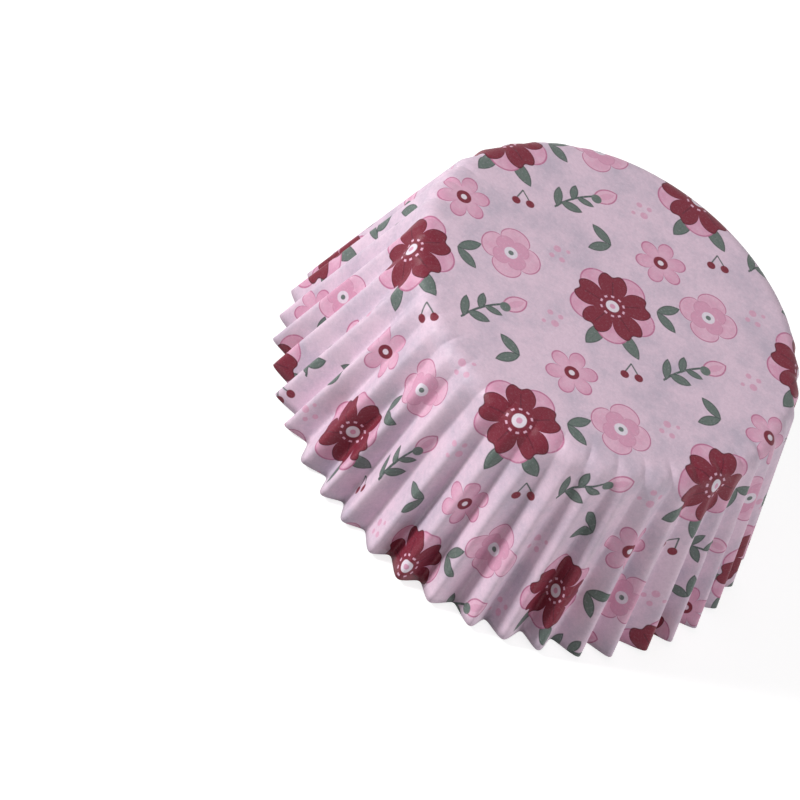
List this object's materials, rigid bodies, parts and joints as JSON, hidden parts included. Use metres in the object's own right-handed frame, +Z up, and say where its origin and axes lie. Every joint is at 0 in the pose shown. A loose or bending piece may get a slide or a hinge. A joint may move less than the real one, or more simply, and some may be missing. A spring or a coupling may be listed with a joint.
{
  "type": "paper baking cup",
  "caption": "Round pleated paper baking cup for a small cake, with a flat base, a flared folded wall and an all-over floral print, standing mouth down.",
  "frame": {"origin": "centre of the mouth, in the plane of the rim that the cup stands on", "axes": "+Z up along the cup's axis, from the mouth to the base, which is on top; +X and +Y lie in the plane of the rim, with the middle of one pleat's valley on +X"},
  "size_m": [0.0644, 0.0646, 0.0268],
  "materials": {
    "paper": "pale lilac-pink greaseproof paper with a small burgundy, pink and green floral print"
  },
  "bodies": {
    "root": {"baking_cup": "paper"}
  },
  "joints": []
}
